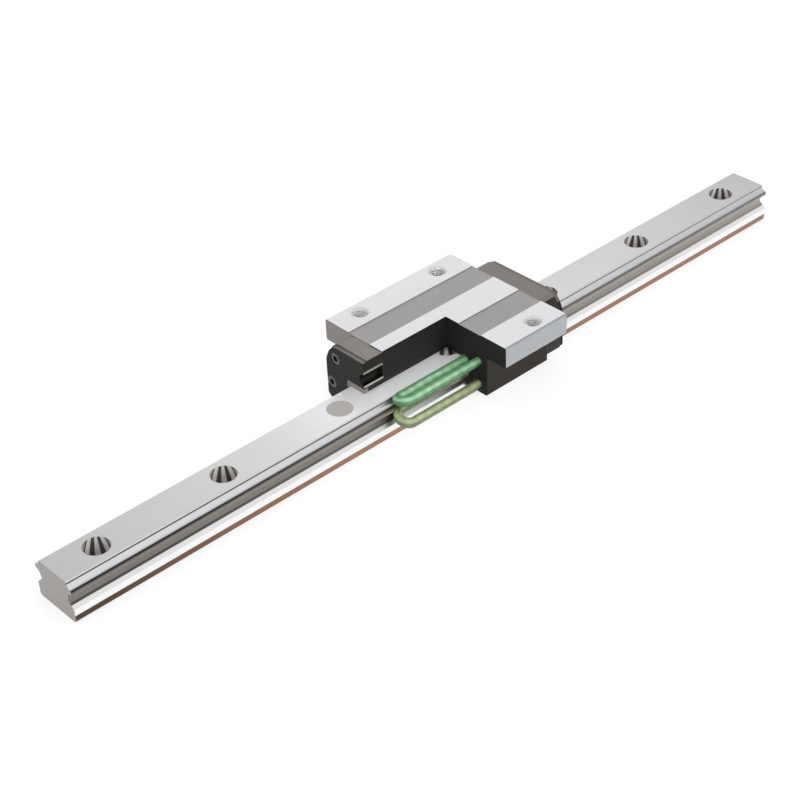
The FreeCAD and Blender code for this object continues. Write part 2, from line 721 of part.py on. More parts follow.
def make_balls(label, side, level):
    """The balls of one circuit, each in the middle between two spacers."""
    master = ball_shape()
    balls = []
    for x, y, angle in circuit_steps(0.5):
        ball = master.copy()
        ball.rotate(FreeCAD.Vector(0, 0, 0), FreeCAD.Vector(0, 0, 1), angle)
        ball.translate(FreeCAD.Vector(x, y, 0))
        balls.append(ball)
    return shape_feature(label, Part.makeCompound(balls), circuit_place(side, level))


def racetrack(offset):
    """The closed line that lies an offset outside the balls' path."""
    half = size("block_length / 2 + turn_set")
    radius = size("turn")
    reach = radius + offset
    low, high = -offset, 2 * radius + offset
    corners = [FreeCAD.Vector(x, y, 0) for x, y in ((-half, low), (half, low), (half, high), (-half, high))]
    noses = [FreeCAD.Vector(half + reach, radius, 0), FreeCAD.Vector(-half - reach, radius, 0)]
    edges = [
        Part.LineSegment(corners[0], corners[1]).toShape(),
        Part.Arc(corners[1], noses[0], corners[2]).toShape(),
        Part.LineSegment(corners[2], corners[3]).toShape(),
        Part.Arc(corners[3], noses[1], corners[0]).toShape(),
    ]
    return Part.Wire(edges)


def make_cage(label, side, level):
    """A cage: two bands round the circuit, above and below the balls, with a spacer between each two balls."""
    inner, outer = size("band_in"), size("band_out")
    half = size("band_width") / 2
    track = Part.Face(racetrack(half)).cut(Part.Face(racetrack(-half)))
    pieces = []
    for start in (inner, -outer):
        band = track.extrude(FreeCAD.Vector(0, 0, outer - inner))
        band.translate(FreeCAD.Vector(0, 0, start))
        pieces.append(band)
    wide, thick = size("spacer_width") / 2, size("spacer_thickness")
    profile = [(half, outer), (wide, 0), (half, -outer), (-half, -outer), (-wide, 0), (-half, outer)]
    wire = Part.makePolygon([FreeCAD.Vector(-thick / 2, y, z) for y, z in profile + profile[:1]])
    master = Part.Face(wire).extrude(FreeCAD.Vector(thick, 0, 0))
    for x, y, angle in circuit_steps(0):
        spacer = master.copy()
        spacer.rotate(FreeCAD.Vector(0, 0, 0), FreeCAD.Vector(0, 0, 1), angle)
        spacer.translate(FreeCAD.Vector(x, y, 0))
        pieces.append(spacer)
    cage = pieces[0].multiFuse(pieces[1:]).removeSplitter()
    return shape_feature(label, cage, circuit_place(side, level))


def make_all():
    parts = [make_rail(), make_hole_plug(), make_block()]
    parts.append(make_end_cap("front_end_cap", FRONT, [LEFT]))
    parts.append(make_end_cap("rear_end_cap", REAR, [LEFT, RIGHT]))
    parts.append(make_end_seal("front_end_seal", FRONT, [LEFT]))
    parts.append(make_end_seal("rear_end_seal", REAR, [LEFT, RIGHT]))
    parts.append(make_turn_guide("return_guide_front_left", FRONT, LEFT))
    parts.append(make_turn_guide("return_guide_rear_left", REAR, LEFT))
    parts.append(make_turn_guide("return_guide_rear_right", REAR, RIGHT))
    parts.append(make_port_bush("front_port_bush", FRONT, [LEFT]))
    parts.append(make_port_bush("rear_port_bush", REAR, [LEFT, RIGHT]))
    parts.append(make_port_plug())
    parts.append(make_cap_screws())
    parts.append(make_upper_retainer())
    for word, side in (("left", LEFT), ("right", RIGHT)):
        parts.append(make_lower_retainer(f"lower_retainer_{word}", side))
        parts.append(make_side_seal(f"side_seal_{word}", side))
        for level in ("upper", "lower"):
            parts.append(make_sleeve(f"return_sleeve_{level}_{word}", side, f"{level}_return_z"))
            parts.append(make_cage(f"{level}_{word}_cage", side, level))
            parts.append(make_balls(f"{level}_{word}_balls", side, level))
    return parts


def check(parts):
    """Stops on any object that failed and on any shape that is empty or not valid."""
    for thing in doc.Objects:
        if "Invalid" in thing.State or "Error" in thing.State:
            raise ValueError(f"{thing.Label} is in state {thing.State}")
    for piece in parts:
        if piece.Shape.isNull() or not piece.Shape.isValid() or not piece.Shape.Solids:
            raise ValueError(f"{piece.Label} has no valid shape")


fill_sheet()
pieces = make_all()
doc.recompute()
check(pieces)
os.makedirs("parts", exist_ok=True)
for piece in pieces:
    piece.Shape.exportStep(f"parts/{piece.Label}.step")
    print(piece.Label, len(piece.Shape.Solids), round(piece.Shape.Volume, 1))
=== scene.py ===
import json
import math

import bpy
import numpy as np
from mathutils import Matrix, Vector


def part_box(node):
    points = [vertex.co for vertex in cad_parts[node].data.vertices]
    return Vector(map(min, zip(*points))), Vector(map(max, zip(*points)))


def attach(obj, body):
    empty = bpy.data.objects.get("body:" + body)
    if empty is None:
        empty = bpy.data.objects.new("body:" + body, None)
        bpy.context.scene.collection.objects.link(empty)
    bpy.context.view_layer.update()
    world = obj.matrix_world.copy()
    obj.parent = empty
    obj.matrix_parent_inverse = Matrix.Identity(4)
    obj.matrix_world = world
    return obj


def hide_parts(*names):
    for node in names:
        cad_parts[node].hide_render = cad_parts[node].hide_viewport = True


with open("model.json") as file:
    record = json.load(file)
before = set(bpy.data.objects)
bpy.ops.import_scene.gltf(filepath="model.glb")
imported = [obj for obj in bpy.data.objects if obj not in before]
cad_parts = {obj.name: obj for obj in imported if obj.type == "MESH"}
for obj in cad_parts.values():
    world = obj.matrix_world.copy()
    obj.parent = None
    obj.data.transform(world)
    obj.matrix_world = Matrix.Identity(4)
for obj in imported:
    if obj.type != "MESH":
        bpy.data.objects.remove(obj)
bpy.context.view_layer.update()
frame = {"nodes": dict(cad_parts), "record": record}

# Rail
# A straight bar of hardened bearing steel. Its top, shoulders and foot are ground along its length, the
# waist is left as drawn, a thin oil line stays on the lowest edge, and the ends are sawn off. The bright
# shoulders, foot and top edge, the dark corner lines, the top's highlight, the streaks in the holes and the
# darker near end of the oil line are painted light and shade.


def linear(text):
    """The linear colour of an sRGB hex value: a share s turns to ((s + 0.055) / 1.055) to the power 2.4."""
    shares = [int(text[i:i + 2], 16) / 255 for i in (0, 2, 4)]
    return [((s + 0.055) / 1.055) ** 2.4 if s > 0.04045 else s / 12.92 for s in shares] + [1.0]


def add(finish, kind, inputs=None, **settings):
    """Adds one node. Settings are its own fields, and inputs are its sockets by name or number."""
    tree = finish.node_tree
    node = tree.nodes.new(kind)
    for name, value in settings.items():
        setattr(node, name, value)
    for key, value in (inputs or {}).items():
        if isinstance(value, bpy.types.NodeSocket):
            tree.links.new(value, node.inputs[key])
        else:
            node.inputs[key].default_value = value
    return node


def new_finish(name):
    """An empty finish, and the places it can read: x, y and z in millimetres and the face's direction."""
    finish = bpy.data.materials.new(name)
    finish.use_nodes = True
    finish.node_tree.nodes.clear()
    surface = add(finish, "ShaderNodeTexCoord")
    spot = add(finish, "ShaderNodeVectorMath", {0: surface.outputs["Object"], 3: 1000.0}, operation="SCALE")
    place = add(finish, "ShaderNodeSeparateXYZ", {0: spot.outputs[0]})
    facing = add(finish, "ShaderNodeSeparateXYZ", {0: surface.outputs["Normal"]})
    reads = dict(zip("xyz", place.outputs))
    reads.update(zip(("facing_x", "facing_y", "facing_z"), facing.outputs))
    reads["spot"] = spot.outputs[0]
    return finish, reads


def zone(finish, reads, **limits):
    """1 where each named reading lies between its two limits, and 0 elsewhere."""
    found = None
    for name, (low, high) in limits.items():
        inside = add(finish, "ShaderNodeMath", {0: reads[name], 1: (low + high) / 2, 2: (high - low) / 2},
                     operation="COMPARE").outputs[0]
        if found is not None:
            inside = add(finish, "ShaderNodeMath", {0: found, 1: inside}, operation="MULTIPLY").outputs[0]
        found = inside
    return found


def bands(finish, reading, low, high, stops):
    """A colour that follows a reading from low to high through (reading, hex) stops."""
    share = add(finish, "ShaderNodeMapRange", {0: reading, 1: low, 2: high})
    ramp = add(finish, "ShaderNodeValToRGB", {0: share.outputs[0]})
    line = ramp.color_ramp
    while len(line.elements) < len(stops):
        line.elements.new(0.5)
    for element, (place, text) in zip(line.elements, stops):
        element.position = (place - low) / (high - low)
        element.color = linear(text)
    return ramp.outputs[0]


def over(finish, where, below, above):
    """Puts one colour over another where the mask is 1."""
    colours = {0: where, 6: below if not isinstance(below, str) else linear(below),
               7: above if not isinstance(above, str) else linear(above)}
    return add(finish, "ShaderNodeMix", colours, data_type="RGBA").outputs[2]


def grain(finish, reads, steps, detail=3.0):
    """Noise from 0 to 1 whose cells are as long as the steps, in millimetres, along x, y and z."""
    stretched = add(finish, "ShaderNodeVectorMath", {0: reads["spot"], 1: [1 / s for s in steps]},
                    operation="MULTIPLY")
    return add(finish, "ShaderNodeTexNoise", {"Vector": stretched.outputs[0], "Scale": 1.0,
                                              "Detail": detail}).outputs[0]


def varied(finish, colour, noise, share):
    """A colour made lighter and darker by a share as the noise goes from 0 to 1."""
    amount = add(finish, "ShaderNodeMapRange", {0: noise, 3: 1 - share, 4: 1 + share}).outputs[0]
    return add(finish, "ShaderNodeVectorMath", {0: colour, 3: amount}, operation="SCALE").outputs[0]


def close(finish, colour, rough, metal, bump=None, depth=0.00002, rounding=0.0003, **constants):
    """Ends a finish: the shader with its colour and gloss, its rounded edges and its bump. The depth of the
    bump and the rounding are in metres."""
    edge = add(finish, "ShaderNodeBevel", {"Radius": rounding}, samples=4).outputs[0]
    if bump is not None:
        edge = add(finish, "ShaderNodeBump", {"Strength": 0.5, "Distance": depth, "Height": bump,
                                              "Normal": edge}).outputs[0]
    inputs = {"Base Color": colour, "Roughness": rough, "Metallic": metal, "Normal": edge}
    inputs.update({name.replace("_", " "): value for name, value in constants.items()})
    shader = add(finish, "ShaderNodeBsdfPrincipled", inputs)
    add(finish, "ShaderNodeOutputMaterial", {"Surface": shader.outputs[0]})
    return finish


def dress(finish, *names):
    """Gives CAD nodes a finish in place of the plain one that they come with."""
    for name in names:
        slots = frame["nodes"][name].data.materials
        slots.clear()
        slots.append(finish)


rail_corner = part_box("rail")[1]
rail_end = round(rail_corner[0] * 1000, 3)
rail_top = round(rail_corner[2] * 1000, 3)
margin = 0.1
hole_pitch = 60.0
counterbore_width = 11.0
oil_height = 3.4
fade_start = -150.0
fade_end = 190.0
top_dullness = 0.7
wall_middle_near = 1.03
wall_middle_far = 0.67
fan_depth = 7.0
fan_width_top = 0.6
fan_width_deep = 1.25
fan_reach = 1.7
# Painted light and shade on the rail's sides, by height, each with a near-end and a far-end colour:
# highlights on the foot, shoulder and top edge, painted shade in the two corners and along the edge line.
side_light_and_shade = {
    "foot": (0.0, 7.55, "FCFCFC", "FBFBFB"),
    "lower corner": (7.75, 8.25, "5C5956", "A19B95"),
    "waist": (8.55, 13.6, "958F89", "B4AFA8"),
    "upper corner": (14.6, 15.2, "363433", "7E7C78"),
    "shoulder": (15.5, 16.85, "F0F1F3", "D5D6D8"),
    "edge line": (17.05, 17.45, "4A4A4A", "909090"),
    "top edge": (17.65, 18.0, "EBEBEB", "D6D6D6"),
}
# The oil line's brown, darkened towards the near end by painted shade.
oil_and_shade_fade = [(-185.0, "5A4A3C"), (-110.0, "947059"), (-50.0, "A37E68")]
# A painted highlight along the rail's top, lightest beside the carriage.
top_highlight = [
    (-200.0, "C8C8C8"), (-90.0, "E2E2E2"), (-45.0, "F5F5F5"), (20.0, "F3F3F3"), (75.0, "DFDFDF"),
    (200.0, "C6C6C6")]
# Painted reflections in the rail holes' walls: light, dark and rim colours.
reflection_light = "FAF9F7"
reflection_dark = "58534E"
reflection_rim = "BAB7B4"
painted_hole_reflections = [
    (-1.65, -1.3, reflection_rim), (-1.2, -1.0, reflection_dark), (-0.92, -0.5, reflection_light),
    (-0.42, -0.17, reflection_dark), (-0.1, 0.14, reflection_light), (0.2, 0.48, reflection_dark),
    (0.56, 0.95, reflection_light), (1.03, 1.2, reflection_dark), (1.3, 1.65, reflection_rim)]


def even(zones):
    """Stops that keep each zone, given as where it starts, where it ends and its hex, at one colour."""
    return [(place, text) for start, stop, text in zones for place in (start, stop)]


def rail_sides(finish, reads):
    """Each zone of height has one colour at the near end, which turns to another at the far end: painted
    highlights on the shoulders and foot, and a warm grey waist between corners darkened by painted shade.
    The oil line grows lighter too, its dark near end being painted shade."""
    near_colours = even((start, stop, near) for start, stop, near, _ in side_light_and_shade.values())
    far_colours = even((start, stop, far) for start, stop, _, far in side_light_and_shade.values())
    near = bands(finish, reads["z"], 0.0, rail_top, near_colours)
    far = bands(finish, reads["z"], 0.0, rail_top, far_colours)
    distance = add(finish, "ShaderNodeMapRange", {0: reads["x"], 1: fade_start, 2: fade_end}).outputs[0]
    oil = bands(finish, reads["x"], -rail_end, rail_end, oil_and_shade_fade)
    return over(finish, zone(finish, reads, z=(-margin, oil_height)), over(finish, distance, near, far), oil)


def hole_walls(finish, reads):
    """Painted light and dark reflections, laid as streaks in the drilled walls. A streak's place is its
    angle round the hole less the angle of the wall's middle, divided by a width that doubles over the fan's
    depth."""
    from_hole = add(finish, "ShaderNodeMath", {0: reads["x"], 1: hole_pitch / 2, 2: -hole_pitch / 2},
                    operation="WRAP").outputs[0]
    round_hole = add(finish, "ShaderNodeMath", {0: reads["y"], 1: from_hole}, operation="ARCTAN2").outputs[0]
    width = add(finish, "ShaderNodeMapRange", {0: reads["z"], 1: rail_top, 2: rail_top - fan_depth,
                                               3: fan_width_top, 4: fan_width_deep}).outputs[0]
    middle = add(finish, "ShaderNodeMapRange", {0: reads["x"], 1: -rail_end, 2: rail_end,
                                                3: wall_middle_near, 4: wall_middle_far}).outputs[0]
    off_middle = add(finish, "ShaderNodeMath", {0: round_hole, 1: middle}, operation="SUBTRACT").outputs[0]
    fan = add(finish, "ShaderNodeMath", {0: off_middle, 1: width}, operation="DIVIDE").outputs[0]
    return bands(finish, fan, -fan_reach, fan_reach, even(painted_hole_reflections))


def rail_steel():
    """Ground steel. The sides shine with painted highlights and shade, the top carries a painted highlight
    beside the carriage and is duller, the holes are matt with painted reflections, and the sawn ends are
    rough. The grinding lines are a third of a millimetre wide, coarser than the real ones, so that they
    show."""
    finish, reads = new_finish("ground_rail_steel")
    flat = zone(finish, reads, facing_z=(0.9, 1.1), z=(rail_top - margin, rail_top + margin))
    hole_edge = counterbore_width / 2 + margin
    hole = zone(finish, reads, y=(-hole_edge, hole_edge), z=(-1.0, rail_top - margin / 2),
                x=(1 - rail_end, rail_end - 1))
    colour = rail_sides(finish, reads)
    colour = over(finish, flat, colour, bands(finish, reads["x"], -rail_end, rail_end, top_highlight))
    colour = over(finish, hole, colour, hole_walls(finish, reads))
    matt = add(finish, "ShaderNodeMath", {0: flat, 1: top_dullness}, operation="MULTIPLY").outputs[0]
    matt = add(finish, "ShaderNodeMath", {0: matt, 1: hole}, operation="MAXIMUM").outputs[0]
    metal = add(finish, "ShaderNodeMath", {0: 1.0, 1: matt}, operation="SUBTRACT").outputs[0]
    sawn = over(finish, grain(finish, reads, (0.5, 3.0, 0.4)), "8E8987", "ADA8A5")
    for end in (-1, 1):
        cut_end = zone(finish, reads, x=sorted((end * (rail_end - margin), end * (rail_end + margin))))
        colour = over(finish, cut_end, colour, sawn)
    lines = grain(finish, reads, (45.0, 0.35, 0.35))
    colour = varied(finish, colour, lines, 0.05)
    colour = varied(finish, colour, grain(finish, reads, (60.0, 12.0, 30.0), 1.0), 0.03)
    rough = add(finish, "ShaderNodeMapRange", {0: lines, 3: 0.28, 4: 0.42}).outputs[0]
    return close(finish, colour, rough, metal, lines, depth=0.000004, rounding=0.0002)


dress(rail_steel(), "rail")

# Hole plug
# A flat grey cap of filled resin, pressed into the third rail hole and ground level with the rail's top.


def plug_resin():
    """Matt grey resin with fine filler specks and faint marks of the grinding that levelled it."""
    finish, reads = new_finish("filled_grey_resin")
    specks = grain(finish, reads, (0.45, 0.45, 0.45))
    colour = over(finish, specks, "A39E9A", "B8B3AF")
    ground = grain(finish, reads, (30.0, 0.5, 0.5))
    marks = add(finish, "ShaderNodeMath", {0: ground, 1: 0.5}, operation="MULTIPLY").outputs[0]
    colour = varied(finish, colour, marks, 0.04)
    rough = add(finish, "ShaderNodeMapRange", {0: specks, 3: 0.5, 4: 0.7}).outputs[0]
    return close(finish, colour, rough, 0.0, specks, depth=0.00001, rounding=0.0002,
                 Specular_IOR_Level=0.3)


dress(plug_resin(), "rail_hole_plug")

# Carriage block
# A block of alloy steel. Three strips of its top are ground bright, the strips between them are dull and a
# little lower, and the two faces of the display cut are painted black. Its end faces, the legs under the
# flanges and the inner faces above the rail are painted darker as shade.

block_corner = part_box("carriage_block")[1]
block_end, flange_edge, block_top = (round(v * 1000, 3) for v in block_corner)
flange_under = 24.0
block_under = 4.0
leg_side = 24.0
edge_depth = 0.7
sink_depth = 0.8
sink_edge = 2.0
channel_side = 13.5
channel_top = 20.4


def block_sides(finish, reads, colour, milled):
    """Lays grey on the flanges' edges and dark brown painted shade on the legs under them, on both sides."""
    flange_side = over(finish, milled, "ABAEB1", "B9BCBF")
    for side in (-1, 1):
        edge = zone(finish, reads, z=(flange_under - margin, block_top + margin),
                    y=sorted((side * (flange_edge - edge_depth), side * (flange_edge + margin))))
        colour = over(finish, edge, colour, flange_side)
        # The legs under the flanges are painted dark brown as shade.
        shaded_leg = zone(finish, reads, z=(block_under, flange_under),
                   y=sorted((side * (leg_side - edge_depth), side * (leg_side + margin))))
        colour = over(finish, shaded_leg, colour, "35312D")
    return colour


def cut_faces(finish, reads):
    """1 on the two painted faces of the cut: the one across the block and the one along it."""
    near = margin / 2
    across = zone(finish, reads, x=(-near, near), y=(-flange_edge - 1, near), facing_x=(-1.1, -0.9))
    along = zone(finish, reads, y=(-near, near), x=(-block_end - 1, near), facing_y=(-1.1, -0.9))
    return add(finish, "ShaderNodeMath", {0: across, 1: along}, operation="MAXIMUM").outputs[0]


def block_steel():
    """Ground and milled steel by zone, with black paint on the cut faces, and painted shade on the end
    faces, the legs and the inner faces above the rail. The paint's grain is nearly a millimetre wide,
    coarser than the real one, so that it shows."""
    finish, reads = new_finish("ground_block_steel")
    milled = grain(finish, reads, (30.0, 0.5, 0.5))
    colour = over(finish, milled, "A8A5A4", "BBB9B8")
    strip = over(finish, grain(finish, reads, (70.0, 9.0, 9.0), 1.0), "F4F5F8", "FEFEFF")
    strips = zone(finish, reads, facing_z=(0.9, 1.1), z=(block_top - margin, block_top + margin))
    colour = over(finish, strips, colour, strip)
    colour = block_sides(finish, reads, colour, milled)
    sink = zone(finish, reads, z=(block_top - sink_depth, block_top - margin / 2), facing_z=(0.2, 0.9),
                y=(sink_edge - flange_edge, flange_edge - sink_edge))
    colour = over(finish, sink, colour, "F0F1F3")
    # The end faces are painted a darker grey as shade, over their grinding grain.
    shaded_end_face = over(finish, grain(finish, reads, (0.5, 20.0, 0.6)), "77736F", "8C8885")
    for end in (-1, 1):
        face = zone(finish, reads, x=sorted((end * (block_end - margin), end * (block_end + margin))))
        colour = over(finish, face, colour, shaded_end_face)
    # The inner faces above the rail are painted dark grey as shade.
    shaded_channel = zone(finish, reads, y=(-channel_side, channel_side), z=(block_under, channel_top))
    colour = over(finish, shaded_channel, colour, "5A5856")
    painted = cut_faces(finish, reads)
    stipple = grain(finish, reads, (0.8, 0.8, 0.8))
    paint = over(finish, stipple, "1B1B1B", "262626")
    colour = over(finish, painted, varied(finish, colour, milled, 0.04), paint)
    metal = add(finish, "ShaderNodeMath", {0: 1.0, 1: painted}, operation="SUBTRACT").outputs[0]
    rough = add(finish, "ShaderNodeMapRange", {0: painted, 3: 0.3, 4: 0.6}).outputs[0]
    height = add(finish, "ShaderNodeMix", {0: painted, 2: milled, 3: stipple}).outputs[0]
    return close(finish, colour, rough, metal, height, depth=0.000008, rounding=0.0003,
                 Specular_IOR_Level=0.2)


dress(block_steel(), "carriage_block")

# Threads of the tapped holes
# M8 threads cut into the block's flanges with a tap. Each is a thin steel shell inside the bore's wall, so
# that the flanks catch the light as the real ones do. Their places are those of the record's tapped holes.

thread_wall = 3.39
thread_depth = 0.5
thread_pitch = 1.25
thread_low = 24.1
thread_high = 33.25


def mesh_piece(name, points, faces, finish, body):
    """A smooth mesh from points and four-sided faces that rides on a body. Its faces are turned outwards:
    the triple products of their corners then add up to a volume above zero."""
    a, b, c, d = (points[faces[:, corner]] for corner in range(4))
    volume = (a * (np.cross(b, c) + np.cross(c, d))).sum()
    if volume < 0:
        faces = faces[:, ::-1]
    mesh = bpy.data.meshes.new(name)
    mesh.from_pydata(points.tolist(), [], faces.tolist())
    mesh.polygons.foreach_set("use_smooth", [True] * len(faces))
    mesh.materials.append(finish)
    mesh.update()
    piece = bpy.data.objects.new(name, mesh)
    bpy.context.scene.collection.objects.link(piece)
    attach(piece, body)
    return piece


def closed_grid(rows, columns):
    """The faces of a grid that closes on itself both ways."""
    i, j = np.meshgrid(np.arange(rows), np.arange(columns), indexing="ij")
    right, down = (j + 1) % columns, (i + 1) % rows
    return np.stack([i * columns + j, i * columns + right, down * columns + right, down * columns + j],
                    axis=-1).reshape(-1, 4)


def thread_shell(x, y):
    """A sleeve against the bore's wall. Its inner radius is the wall's less the depth times a wave, which
    falls and rises once in each pitch of height and climbs by one pitch in each turn."""
    around, rings = 36, 64
    turns = np.linspace(0, 2 * math.pi, around, endpoint=False)
    heights = np.linspace(thread_low, thread_high, rings)
    wave = np.abs(((heights[None, :] / thread_pitch - turns[:, None] / (2 * math.pi)) % 1) * 2 - 1)
    inner = thread_wall - thread_depth * np.clip(1.2 * wave, 0.1, 1.0)
    radii = np.hstack([inner, np.full((around, 2), thread_wall)])
    levels = np.hstack([np.tile(heights, (around, 1)), np.tile([thread_high, thread_low], (around, 1))])
    points = np.stack([x + radii * np.cos(turns)[:, None], y + radii * np.sin(turns)[:, None], levels],
                      axis=-1)
    return points.reshape(-1, 3) * 0.001, closed_grid(around, rings + 2)


def tapped_steel():
    """Freshly cut steel, light grey with lighter and darker patches at random."""
    finish, reads = new_finish("tapped_steel")
    colour = over(finish, grain(finish, reads, (0.7, 0.7, 0.25)), "B9B6B2", "FAFAF9")
    return close(finish, colour, 0.3, 0.4, rounding=0.00005)


thread_steel = tapped_steel()
for mount in frame["record"]["mounts"]:
    if mount["kind"] == "threaded_hole":
        hole_x, hole_y = (1000 * v for v in mount["pos_m"][:2])
        points, faces = thread_shell(hole_x, hole_y)
        mesh_piece(mount["name"], points, faces, thread_steel, "carriage")

# End caps, guides, retainers and sleeves
# Parts of black glass-filled resin, injection moulded. The caps are screwed to the block's ends, and the
# other parts are held between cap and block.

cap_top = round(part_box("rear_end_cap")[1][2] * 1000, 3)
cap_growth = 2.3
upper_screw_y = 17.5
upper_screw_z = 27.2
screw_room = 3.3
port_z = 24.8
port_room = 4.3
dust_and_sheen_from = 27.0
flank_side = -20.0


def black_resin():
    """Moulded black resin. Its tops are grey, dusty in part and in part a painted sheen, and its flank on
    the cut side is painted a little lighter as painted light. The spark texture is half a millimetre wide,
    coarser than the real one, so that it shows."""
    finish, reads = new_finish("moulded_black_resin")
    spark = grain(finish, reads, (0.5, 0.5, 0.5))
    colour = over(finish, spark, "0F0F0E", "1C1B1A")
    # The tops are grey, dusty in part and in part a painted sheen from the lamps.
    dust_and_sheen = over(finish, spark, "76716D", "827D79")
    top = zone(finish, reads, facing_z=(0.5, 1.1), z=(dust_and_sheen_from, block_top))
    colour = over(finish, top, colour, dust_and_sheen)
    # The flank on the cut side is painted a little lighter, as painted light.
    flank = zone(finish, reads, facing_y=(-1.1, -0.6), y=(-leg_side, flank_side))
    colour = over(finish, flank, colour, over(finish, spark, "24211F", "2E2B28"))
    rough = add(finish, "ShaderNodeMapRange", {0: spark, 3: 0.42, 4: 0.6}).outputs[0]
    return close(finish, colour, rough, 0.0, spark, depth=0.00001, rounding=0.0004,
                 Specular_IOR_Level=0.35)


dress(black_resin(), "front_end_cap", "rear_end_cap", "return_guide_front_left", "return_guide_rear_left",
      "return_guide_rear_right", "upper_retainer", "lower_retainer_left", "lower_retainer_right",
      "return_sleeve_upper_left", "return_sleeve_lower_left", "return_sleeve_upper_right",
      "return_sleeve_lower_right")


def merged_copy(node):
    """A copy of a CAD node's mesh in which corners at one place are one point, with its own normals kept."""
    loose = frame["nodes"][node].data
    points = np.empty((len(loose.vertices), 3))
    loose.vertices.foreach_get("co", points.ravel())
    corners = np.empty(len(loose.loops), int)
    loose.loops.foreach_get("vertex_index", corners)
    normals = np.empty((len(loose.loops), 3))
    loose.corner_normals.foreach_get("vector", normals.ravel())
    smooth = np.empty(len(loose.polygons), bool)
    loose.polygons.foreach_get("use_smooth", smooth)
    _, first, joined = np.unique(np.round(points * 1e7), axis=0, return_index=True, return_inverse=True)
    mesh = bpy.data.meshes.new(f"{node}_full_height")
    mesh.from_pydata(points[first].tolist(), [], joined.ravel()[corners].reshape(-1, 3).tolist())
    mesh.polygons.foreach_set("use_smooth", smooth)
    mesh.materials.append(loose.materials[0])
    mesh.normals_split_custom_set(normals.tolist())
    return mesh


def full_height(node):
    """An end part as high as the real one. A point rises by the growth times its share of the way from the
    upper screws' height to the cap's top, and the holes for the screws and the port keep their shape."""
    mesh = merged_copy(node)
    points = np.empty((len(mesh.vertices), 3))
    mesh.vertices.foreach_get("co", points.ravel())
    y, z = points[:, 1] * 1000, points[:, 2] * 1000
    from_screw = np.hypot(np.abs(y) - upper_screw_y, z - upper_screw_z)
    from_port = np.hypot(y, z - port_z)
    outside_holes = (from_screw > screw_room) & (from_port > port_room)
    share = np.clip((z - upper_screw_z) / (cap_top - upper_screw_z), 0, 1)
    points[:, 2] += 0.001 * cap_growth * share * outside_holes
    mesh.vertices.foreach_set("co", points.ravel())
    mesh.update()
    piece = bpy.data.objects.new(mesh.name, mesh)
    bpy.context.scene.collection.objects.link(piece)
    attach(piece, "carriage")
    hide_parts(node)


full_height("front_end_cap")
full_height("rear_end_cap")

# End and side seals
# Rubber moulded on thin plates. The end seals are held by the cap screws and wipe the rail, and the side
# seals run under the legs.

lip_reach = 10.5
lip_heights = (17.0, 20.3)
front_seal_place = (-47.0, -44.0)


def seal_rubber():
    """Matt black rubber, grey on top, dusty in part and in part a painted sheen, and worn grey along the
    front lip that wipes the rail. Its grain is over half a millimetre wide, coarser than the real one, so
    that it shows."""
    finish, reads = new_finish("moulded_seal_rubber")
    skin = grain(finish, reads, (0.6, 0.6, 0.6))
    colour = over(finish, skin, "171716", "232221")
    # The top is grey, dusty in part and in part a painted sheen.
    top = zone(finish, reads, facing_z=(0.5, 1.1), z=(dust_and_sheen_from, block_top))
    colour = over(finish, top, colour, "6E6A66")
    lip = zone(finish, reads, y=(-lip_reach, lip_reach), z=lip_heights, x=front_seal_place)
    colour = over(finish, lip, colour, "8F8A84")
    rough = add(finish, "ShaderNodeMapRange", {0: skin, 3: 0.55, 4: 0.75}).outputs[0]
    return close(finish, colour, rough, 0.0, skin, depth=0.00001, rounding=0.0003,
                 Specular_IOR_Level=0.3)


dress(seal_rubber(), "front_end_seal", "rear_end_seal", "side_seal_left", "side_seal_right")
full_height("front_end_seal")
full_height("rear_end_seal")

# Screws and grease port
# Turned steel parts. The screws and the bushes are blackened, and the hexagon plug that closes the rear bush
# is plated with bright zinc. The bushes are pressed into the caps.


def zinc_plate():
    """Zinc plating: bright, a little uneven, with faint cloudy spots."""
    finish, reads = new_finish("bright_zinc_plate")
    clouds = grain(finish, reads, (1.4, 1.4, 1.4))
    colour = over(finish, clouds, "BDC2C3", "E3E7E6")
    rough = add(finish, "ShaderNodeMapRange", {0: clouds, 3: 0.14, 4: 0.3}).outputs[0]
    return close(finish, colour, rough, 1.0, rounding=0.0002)


dress(zinc_plate(), "grease_port_plug")


def blackened_steel():
    """Steel screws blackened in hot oil: near black and a little glossy, with lighter worn patches at
    random.
    """
    finish, reads = new_finish("blackened_screw_steel")
    worn = grain(finish, reads, (0.5, 0.5, 0.5))
    colour = over(finish, worn, "35373A", "6D7173")
    rough = add(finish, "ShaderNodeMapRange", {0: worn, 3: 0.2, 4: 0.38}).outputs[0]
    return close(finish, colour, rough, 1.0, rounding=0.0002)


dress(blackened_steel(), "end_cap_screws")


def bush_steel():
    """A blackened bush whose sawn edges are bright, because the display cut goes through the front one."""
    finish, reads = new_finish("blackened_bush_steel")
    worn = grain(finish, reads, (0.6, 0.6, 0.6))
    colour = over(finish, worn, "201F1E", "36332F")
    sawn = zone(finish, reads, y=(-margin / 2, margin / 2), facing_y=(-1.1, -0.9))
    colour = over(finish, sawn, colour, "CFCAC3")
    rough = add(finish, "ShaderNodeMapRange", {0: worn, 3: 0.25, 4: 0.4}).outputs[0]
    return close(finish, colour, rough, 1.0, rounding=0.0001)


dress(bush_steel(), "front_port_bush", "rear_port_bush")

# Ball circuits
# Two circuits on each side. A circuit runs along the loaded row, round a turn, back through the return bore
# and round the other turn. Its chrome steel balls, ground and lapped, sit in a flexible cage moulded from
# green resin.

